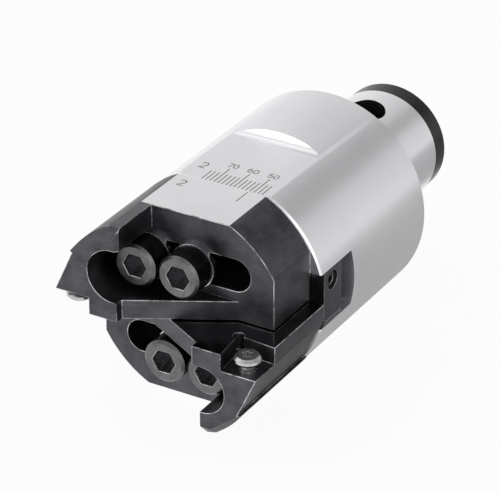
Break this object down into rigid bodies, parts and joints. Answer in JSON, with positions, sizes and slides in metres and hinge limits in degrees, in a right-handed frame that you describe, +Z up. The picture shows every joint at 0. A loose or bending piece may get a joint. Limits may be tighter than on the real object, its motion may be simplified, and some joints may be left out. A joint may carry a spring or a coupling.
{
  "type": "twin cutter boring head",
  "caption": "Rough boring head with a round modular shank, sliding insert holders clamped by cap screws, side adjusting screws and open seats for rhombic inserts.",
  "frame": {"origin": "on the tool axis, in the shoulder face that seats on the adapter", "axes": "+Y along the tool axis towards the shank's end, cutting end towards -Y; +Z up, out of the flat that carries the scale; +X the way insert holder A is set outwards"},
  "size_m": [0.05, 0.1081, 0.05],
  "materials": {
    "satin_steel": "satin ground and plated steel, dark band at the shank's end",
    "black_oxide": "black oxide, satin",
    "black_screw": "black oxide with brushed grey head face",
    "bright_washer": "bright zinc plated",
    "bright_screw": "bright steel",
    "ground_pin": "ground"
  },
  "bodies": {
    "body": {"body": "satin_steel", "adjusting_block": "black_oxide", "block_screw": "black_screw", "retaining_pin_a": "ground_pin", "retaining_pin_b": "ground_pin"},
    "holder_a": {"insert_holder_a": "black_oxide"},
    "adjuster_a": {"adjusting_screw_a": "black_screw"},
    "seat_screw_a": {"insert_screw_a": "bright_screw"},
    "clamp_a1": {"clamp_screw_a1": "black_screw", "clamp_washer_a1": "bright_washer"},
    "clamp_a2": {"clamp_screw_a2": "black_screw", "clamp_washer_a2": "bright_washer"},
    "holder_b": {"insert_holder_b": "black_oxide"},
    "adjuster_b": {"adjusting_screw_b": "black_screw"},
    "seat_screw_b": {"insert_screw_b": "bright_screw"},
    "clamp_b1": {"clamp_screw_b1": "black_screw", "clamp_washer_b1": "bright_washer"},
    "clamp_b2": {"clamp_screw_b2": "black_screw", "clamp_washer_b2": "bright_washer"}
  },
  "joints": [
    {"name": "holder_a_slide", "type": "slide", "parent": "body", "child": "holder_a", "axis": [1, 0, 0], "range_m": [0, 0.009]},
    {"name": "adjusting_screw_a_turn", "type": "hinge", "parent": "body", "child": "adjuster_a", "pos_m": [-0.0226, -0.0402, -0.0024], "axis": [-1, 0, 0], "range_deg": [0, 4633]},
    {"name": "clamp_screw_a1_turn", "type": "hinge", "parent": "body", "child": "clamp_a1", "pos_m": [0.0088, -0.0635, -0.0108], "axis": [0, -1, 0], "range_deg": [0, 360]},
    {"name": "clamp_screw_a2_turn", "type": "hinge", "parent": "body", "child": "clamp_a2", "pos_m": [-0.0019, -0.0635, -0.0108], "axis": [0, -1, 0], "range_deg": [0, 360]},
    {"name": "insert_screw_a_turn", "type": "hinge", "parent": "holder_a", "child": "seat_screw_a", "pos_m": [0.02074, -0.07254, -0.00415], "axis": [0, 0, 1], "range_deg": [-360, 360]},
    {"name": "holder_b_slide", "type": "slide", "parent": "body", "child": "holder_b", "axis": [-1, 0, 0], "range_m": [0, 0.009]},
    {"name": "adjusting_screw_b_turn", "type": "hinge", "parent": "body", "child": "adjuster_b", "pos_m": [0.0226, -0.0402, 0.0024], "axis": [1, 0, 0], "range_deg": [0, 4633]},
    {"name": "clamp_screw_b1_turn", "type": "hinge", "parent": "body", "child": "clamp_b1", "pos_m": [-0.0088, -0.0635, 0.0108], "axis": [0, -1, 0], "range_deg": [0, 360]},
    {"name": "clamp_screw_b2_turn", "type": "hinge", "parent": "body", "child": "clamp_b2", "pos_m": [0.0019, -0.0635, 0.0108], "axis": [0, -1, 0], "range_deg": [0, 360]},
    {"name": "insert_screw_b_turn", "type": "hinge", "parent": "holder_b", "child": "seat_screw_b", "pos_m": [-0.02074, -0.07254, 0.00415], "axis": [0, 0, -1], "range_deg": [-360, 360]}
  ],
  "couplings": [
    {"joint": "adjusting_screw_a_turn", "follows": "holder_a_slide", "rad_per_m": 8976},
    {"joint": "adjusting_screw_b_turn", "follows": "holder_b_slide", "rad_per_m": 8976}
  ]
}
